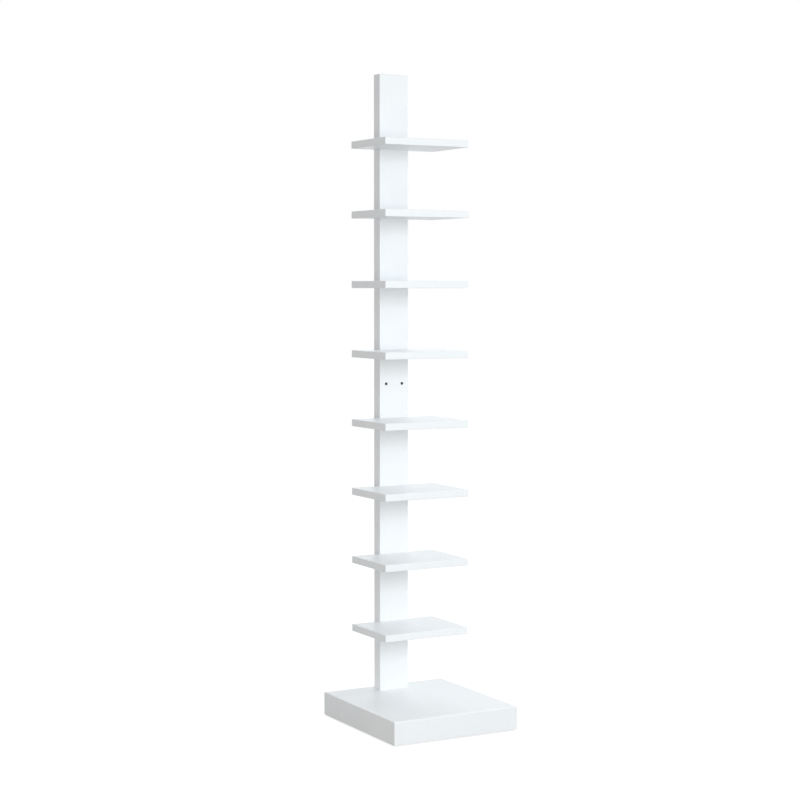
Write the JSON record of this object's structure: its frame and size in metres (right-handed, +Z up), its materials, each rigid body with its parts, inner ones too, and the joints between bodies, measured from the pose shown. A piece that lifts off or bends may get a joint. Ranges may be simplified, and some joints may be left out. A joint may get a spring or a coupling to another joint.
{
  "type": "spine bookshelf",
  "caption": "Slim free-standing bookshelf: one upright spine board on a slab base, with small square-edged shelves cantilevered from the spine's front.",
  "frame": {"origin": "centre of the base's footprint, on the floor that its pads stand on", "axes": "+Z up along the spine; the shelves stand out towards -Y, the front; +X is to the right seen from the front"},
  "size_m": [0.35, 0.38, 1.648],
  "materials": {
    "white_lacquer": "satin white lacquer on fibreboard",
    "raw_board": "bare fibreboard, hidden in the base",
    "black_steel": "black oxide steel",
    "brass_insert": "turned brass",
    "felt": "dense grey felt"
  },
  "bodies": {
    "root": {"upper_spine": "white_lacquer", "lower_spine": "white_lacquer", "base_top_panel": "white_lacquer", "base_front_rail": "white_lacquer", "base_right_rail": "white_lacquer", "base_back_rail": "white_lacquer", "base_left_rail": "white_lacquer", "shelf_1": "white_lacquer", "shelf_2": "white_lacquer", "shelf_3": "white_lacquer", "shelf_4": "white_lacquer", "shelf_5": "white_lacquer", "shelf_6": "white_lacquer", "shelf_7": "white_lacquer", "shelf_8": "white_lacquer", "base_bottom_panel": "raw_board", "base_left_core_rib": "raw_board", "base_right_core_rib": "raw_board", "base_socket_block": "raw_board", "splice_bolts": "black_steel", "shelf_screws": "black_steel", "foot_screws": "black_steel", "splice_inserts": "brass_insert", "base_pads": "felt"}
  },
  "joints": []
}
